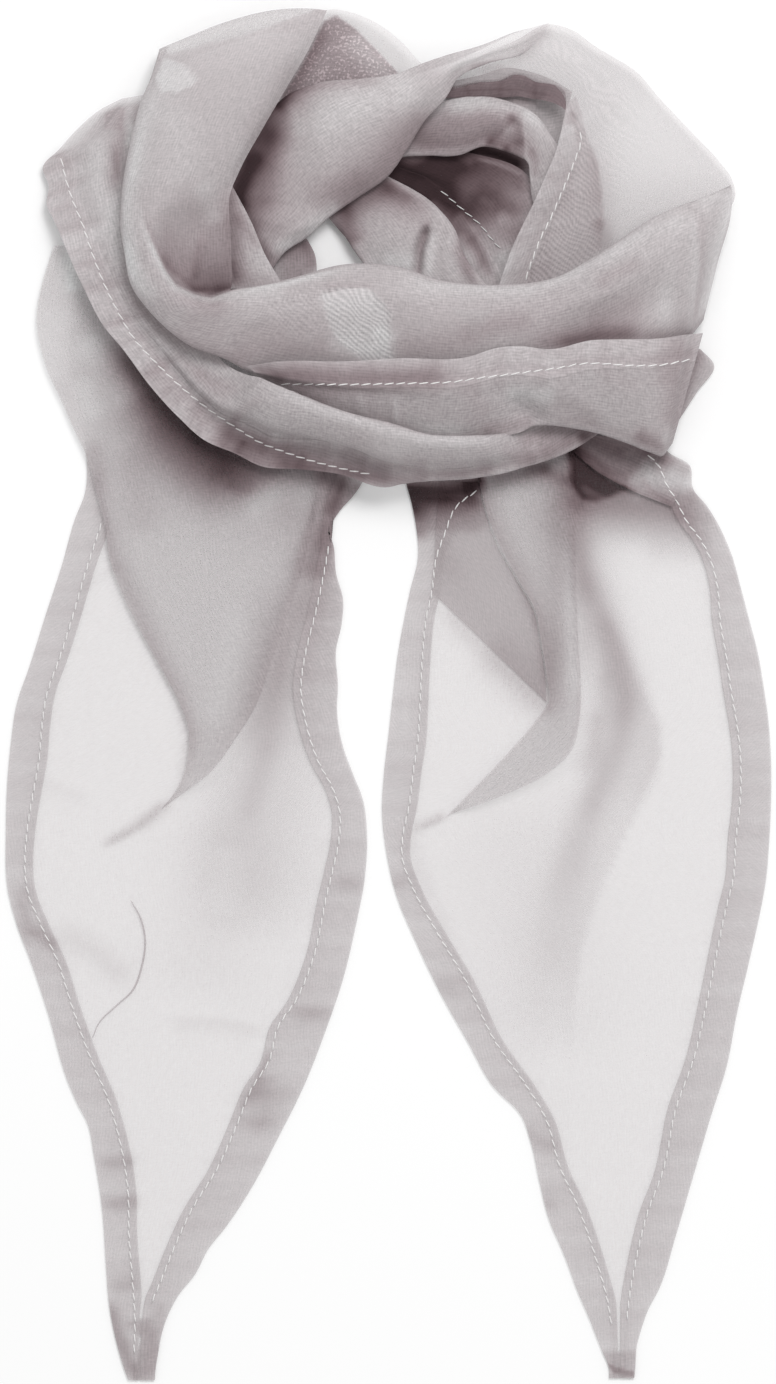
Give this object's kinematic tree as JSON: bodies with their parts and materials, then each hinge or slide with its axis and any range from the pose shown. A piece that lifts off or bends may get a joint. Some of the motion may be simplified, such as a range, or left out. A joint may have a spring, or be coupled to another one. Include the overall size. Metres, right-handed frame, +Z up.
{
  "type": "chiffon scarf",
  "caption": "Long narrow sheer chiffon scarf with pointed ends and a turned hem all round, wound into a loose gathered ring and laid flat with both ends hanging down.",
  "frame": {"origin": "centre of the scarf's outline, on the plane it lies on", "axes": "+Z up off the surface it lies on, +Y from the pointed ends towards the gathered ring, +X across to the right seen from above"},
  "size_m": [0.2142, 0.3846, 0.025],
  "materials": {
    "chiffon": "sheer matte crepe"
  },
  "bodies": {
    "root": {"tail_left": "chiffon", "tail_right": "chiffon", "front_roll": "chiffon", "front_band": "chiffon", "lower_band": "chiffon", "cross_strand": "chiffon", "top_loop": "chiffon", "inner_roll": "chiffon", "inner_strand": "chiffon", "inner_back": "chiffon", "loop_back": "chiffon", "top_back": "chiffon", "side_fold": "chiffon", "inner_fold": "chiffon", "back_fold": "chiffon"}
  },
  "joints": []
}
